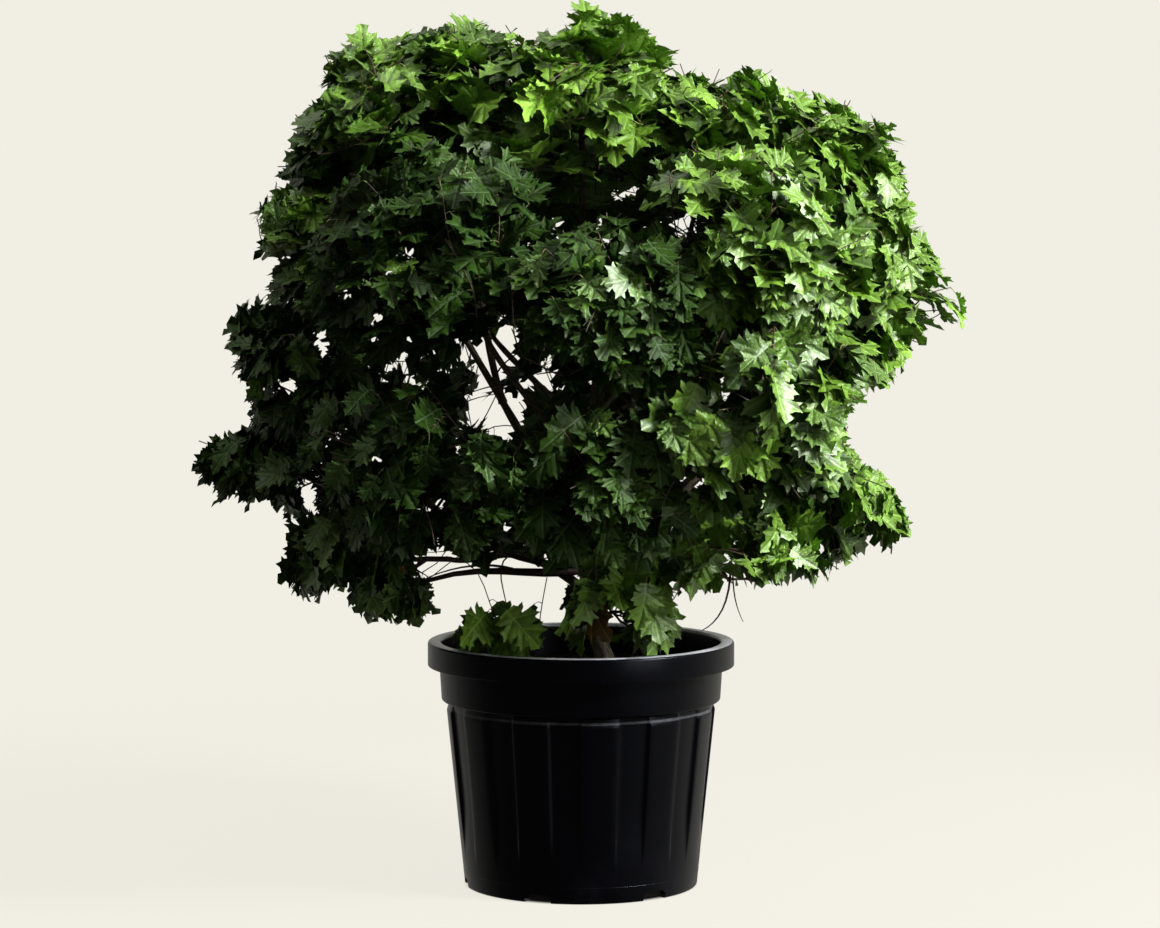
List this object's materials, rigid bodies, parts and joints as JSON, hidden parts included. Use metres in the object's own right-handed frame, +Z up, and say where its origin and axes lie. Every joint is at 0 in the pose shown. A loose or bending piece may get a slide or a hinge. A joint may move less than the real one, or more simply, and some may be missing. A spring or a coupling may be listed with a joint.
{
  "type": "potted pin oak",
  "caption": "Bushy young pin oak with lobed glossy leaves on ascending boughs, growing in a ribbed black nursery pot.",
  "frame": {"origin": "centre of the pot's flat underside, which stands on the ground", "axes": "+Z up along the pot's axis; -Y is the front that the picture shows; +X is to the viewer's right"},
  "size_m": [1.2487, 1.0835, 1.4399],
  "materials": {
    "pot": "satin black moulded polypropylene, slightly dusty",
    "soil": "dark moist potting soil with bark crumbs",
    "bark": "smooth young grey-brown bark with fine fissures",
    "leaf": "dark green glossy leaves",
    "leaf_sunlit": "bright green glossy leaves"
  },
  "bodies": {
    "root": {"pot": "pot", "soil": "soil", "trunk": "bark", "bough_peak": "bark", "bough_top_left": "bark", "bough_top_right": "bark", "bough_left_tip": "bark", "bough_right_tip": "bark", "bough_front_centre": "bark", "bough_back_centre": "bark", "bough_top_left_centre": "bark", "bough_top_back": "bark", "bough_right_shoulder": "bark", "bough_left_upper": "bark", "bough_front_left": "bark", "bough_front_right": "bark", "bough_right_upper": "bark", "bough_back_left": "bark", "bough_back_right": "bark", "bough_left_mid": "bark", "bough_right_front": "bark", "bough_left_front": "bark", "bough_centre_front": "bark", "bough_back_left_low": "bark", "bough_back_right_low": "bark", "bough_back_low": "bark", "bough_left_hanging": "bark", "bough_right_hanging": "bark", "bough_right_lower": "bark", "foliage_peak": "leaf_sunlit", "foliage_top_left": "leaf", "foliage_top_right": "leaf_sunlit", "foliage_left_tip": "leaf", "foliage_right_tip": "leaf_sunlit", "foliage_front_centre": "leaf_sunlit", "foliage_back_centre": "leaf_sunlit", "foliage_top_left_centre": "leaf", "foliage_top_back": "leaf_sunlit", "foliage_right_shoulder": "leaf_sunlit", "foliage_left_upper": "leaf", "foliage_front_left": "leaf", "foliage_front_right": "leaf_sunlit", "foliage_right_upper": "leaf_sunlit", "foliage_back_left": "leaf", "foliage_back_right": "leaf_sunlit", "foliage_left_mid": "leaf", "foliage_right_front": "leaf_sunlit", "foliage_left_front": "leaf", "foliage_centre_front": "leaf_sunlit", "foliage_back_left_low": "leaf", "foliage_back_right_low": "leaf_sunlit", "foliage_back_low": "leaf", "foliage_left_hanging": "leaf", "foliage_right_hanging": "leaf_sunlit", "foliage_right_lower": "leaf_sunlit", "foliage_low_front": "leaf_sunlit", "foliage_low_left": "leaf"}
  },
  "joints": []
}
